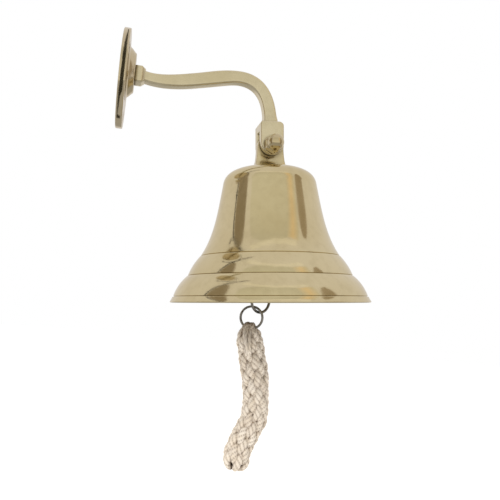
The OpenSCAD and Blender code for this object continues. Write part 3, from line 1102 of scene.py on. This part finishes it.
def band(name, side, rows, material):
    """A curved panel round the bell. Each row is an elevation and the angles of its two sides."""
    bm = bmesh.new()
    uv = bm.loops.layers.uv.verify()
    smooth = []
    for (e0, a0, b0), (e1, a1, b1) in zip(rows, rows[1:]):
        for i in range(6):
            t = i / 6
            smooth.append((e0 + t * (e1 - e0), a0 + t * (a1 - a0), b0 + t * (b1 - b0)))
    smooth.append(rows[-1])
    grid = []
    for elevation, inner, outer in smooth:
        e = math.radians(elevation)
        row = []
        for k in range(5):
            a = math.radians(side * (inner + (outer - inner) * k / 4) - 90 - CAMERA_TURN)
            way = Vector((math.cos(a), math.sin(a), math.tan(e)))
            row.append(bm.verts.new(BELL_MIDDLE + BAND_R * way))
        grid.append(row)
    for i in range(len(grid) - 1):
        for k in range(4):
            corners = ((i, k), (i, k + 1), (i + 1, k + 1), (i + 1, k))
            face = bm.faces.new([grid[r][c] for r, c in corners])
            for loop, (r, c) in zip(face.loops, corners):
                loop[uv].uv = (c / 4, r / len(grid))
    mesh = bpy.data.meshes.new(name)
    bm.to_mesh(mesh)
    bm.free()
    panel = link(name, mesh)
    mesh.materials.append(material)
    return reflected(panel)


# The hoop's angle up from the front, and where its two edges are in front of the wall
HOOP_R = 47
HOOP = [
    (-84, -2.6, 3.0), (-78, -2.6, 3.0), (-75, -2.6, -1.4), (-60, -2.5, -0.4), (-44, -2.5, 0.4),
    (-35, -2.5, 3.4), (-25, -2.0, 3.6), (0, -1.6, 3.8), (25, -1.2, 3.6), (45, 0.2, 3.2),
    (60, 1.4, 2.9), (78, 2.0, 2.7),
]


def hoop():
    """A narrow dark hoop round the plate, which the plate's rim reflects."""
    bm = bmesh.new()
    rows = []
    for angle, low, high in HOOP:
        a = math.radians(angle)
        row = []
        for x in (low, high):
            place = Vector((x, -HOOP_R * math.cos(a), HOOP_R * math.sin(a)))
            row.append(bm.verts.new(place * MM))
        rows.append(row)
    for p, q in zip(rows, rows[1:]):
        bm.faces.new((p[0], p[1], q[1], q[0]))
    mesh = bpy.data.meshes.new("hoop")
    bm.to_mesh(mesh)
    bm.free()
    ring = link("hoop", mesh)
    mesh.materials.append(glow("hoop_dark", (0.04, 0.036, 0.025), 1.0))
    reflected(ring)


def studio():
    world = bpy.data.worlds.new("studio")
    scene.world = world
    world.use_nodes = True
    air = world.node_tree.nodes["Background"]
    air.inputs["Color"].default_value = (*ROOM_LIGHT, 1)
    floor = flat("floor", 12, 12)
    floor.location.z = FLOOR_Z
    floor.data.materials.append(plain("floor_paint", (0.93, 0.93, 0.92), 0.45))
    floor.visible_glossy = False
    backdrop_mesh = bpy.data.meshes.new("backdrop")
    bm = bmesh.new()
    bmesh.ops.create_uvsphere(bm, u_segments=48, v_segments=24, radius=5)
    bm.to_mesh(backdrop_mesh)
    bm.free()
    backdrop = link("backdrop", backdrop_mesh)
    backdrop_mesh.materials.append(glow("backdrop_white", (1, 1, 1), 1.0))
    backdrop.visible_glossy = False
    backdrop.visible_diffuse = False
    backdrop.visible_shadow = False

    brown = (0.31, 0.255, 0.19)
    black = (0.03, 0.025, 0.02)
    table = flat("table", 3.2, 3.2)
    table.location = (0.1, 0, FLOOR_Z + 0.001)
    table.data.materials.append(glow("table_grey", (0.45, 0.43, 0.40), 1.0))
    reflected(table)
    card("front", around(0, 1.1, 0.6), 2.5, 2.2, glow("front", (0.72, 0.69, 0.61), 0.86, 1.2))
    leaf = [(-35, 55, 84), (0, 55, 84), (20, 56, 84), (33, 59, 83), (41, 63, 81), (47, 70, 78)]
    outside = [(-30, 82, 86), (20, 82, 86), (35, 81, 85), (44, 78, 82), (56, 71, 75), (66, 60, 64)]
    band("bright", 1, [(53, -56, 56), (59, -56, 56)], glow("bright", (1.0, 0.95, 0.88), 0.86))
    warm = glow("warm", (0.86, 0.68, 0.46), 1.0, None, 0.5, (0.68, 0.65, 0.57))
    band("warm", 1, [(6, 40, 56), (30, 36, 57), (52, 30, 60)], warm)
    band("left", -1, leaf, glow("left", brown, 1.0, None, 0.09))
    band("left_edge", -1, outside, glow("left_edge", black, 1.0))
    band("right", 1, leaf, glow("right", brown, 1.3, None, 0.12))
    short = [(-14, 82, 84), (5, 80, 86), (26, 80, 84)]
    band("right_edge", 1, short, glow("right_edge", black, 1.0))
    band("right_line", 1, [(-30, 70, 71.5), (38, 70, 71.5)], glow("right_line", black, 3.0))
    band("right_line_2", 1, [(-30, 65, 66), (36, 67, 68)], glow("right_line_2", black, 4.0))
    hoop()
    key = bpy.data.lights.new("key", "AREA")
    key.energy = 11
    key.size = 0.7
    lamp = bpy.data.objects.new("key", key)
    scene.collection.objects.link(lamp)
    lamp.location = (-0.35, -0.7, 0.75)
    lamp.rotation_euler = (Vector((0.12, 0, -0.15)) - lamp.location).to_track_quat("-Z", "Y").to_euler()
    lamp.visible_glossy = False
    scene.view_settings.view_transform = "Standard"


# ---- The whole object ----

add_camera()
lanyard()
studio()
wall_plate()
hub()
bracket_arm()
acorn_nut()
pivot_bolt()
pivot_washers()
bell()
hanger()
pull_ring()
split_ring()

CARRIED_OVER = {
    "arm_screw": hardware_steel,
    "eye_bolt": thread_steel,
    "crown_washer": hardware_steel,
    "crown_nut": hardware_steel,
    "clapper_link": hardware_steel,
    "clapper_rod": clapper_brass,
    "clapper_ball": clapper_brass,
    "tail_eye": clapper_brass,
}
for node, material in CARRIED_OVER.items():
    part = frame["nodes"][node]
    if not part.material_slots:
        part.data.materials.append(material)
    for place in part.material_slots:
        place.material = material

bpy.context.view_layer.update()
